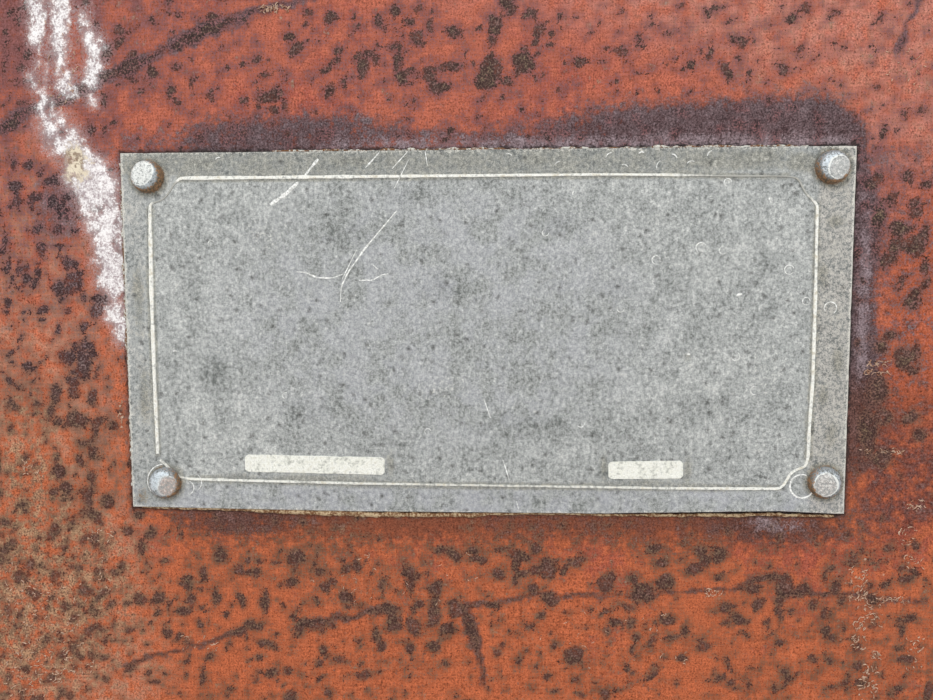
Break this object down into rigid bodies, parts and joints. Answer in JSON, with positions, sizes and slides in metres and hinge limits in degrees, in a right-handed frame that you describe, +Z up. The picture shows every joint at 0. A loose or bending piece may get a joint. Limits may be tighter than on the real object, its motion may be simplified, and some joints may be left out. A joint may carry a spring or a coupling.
{
  "type": "farm machine cover panel with riveted data plate",
  "caption": "Flat painted steel cover sheet on a mitred angle frame, with a blank aluminium data plate riveted to its front; closes an opening in a machine's side.",
  "frame": {"origin": "middle of the four fixing holes, in the back face of the frame's face legs", "axes": "+X to the right as the data plate is read, +Y away from the reader towards the machine, +Z up"},
  "size_m": [0.3, 0.0304, 0.24],
  "materials": {
    "sheet_paint": "matt red-orange paint, spotted with rust",
    "frame_paint": "matt red-orange paint, rusted along the edges",
    "weld_steel": "rusty weld with remains of paint",
    "plate_metal": "dull weathered grey with a cream border line",
    "rivet_steel": "hammered bright, rusty at the foot"
  },
  "bodies": {
    "root": {"cover_sheet": "sheet_paint", "frame_top": "frame_paint", "frame_bottom": "frame_paint", "frame_left": "frame_paint", "frame_right": "frame_paint", "frame_welds": "weld_steel", "data_plate": "plate_metal", "rivet_top_left": "rivet_steel", "rivet_top_right": "rivet_steel", "rivet_bottom_left": "rivet_steel", "rivet_bottom_right": "rivet_steel"}
  },
  "joints": []
}
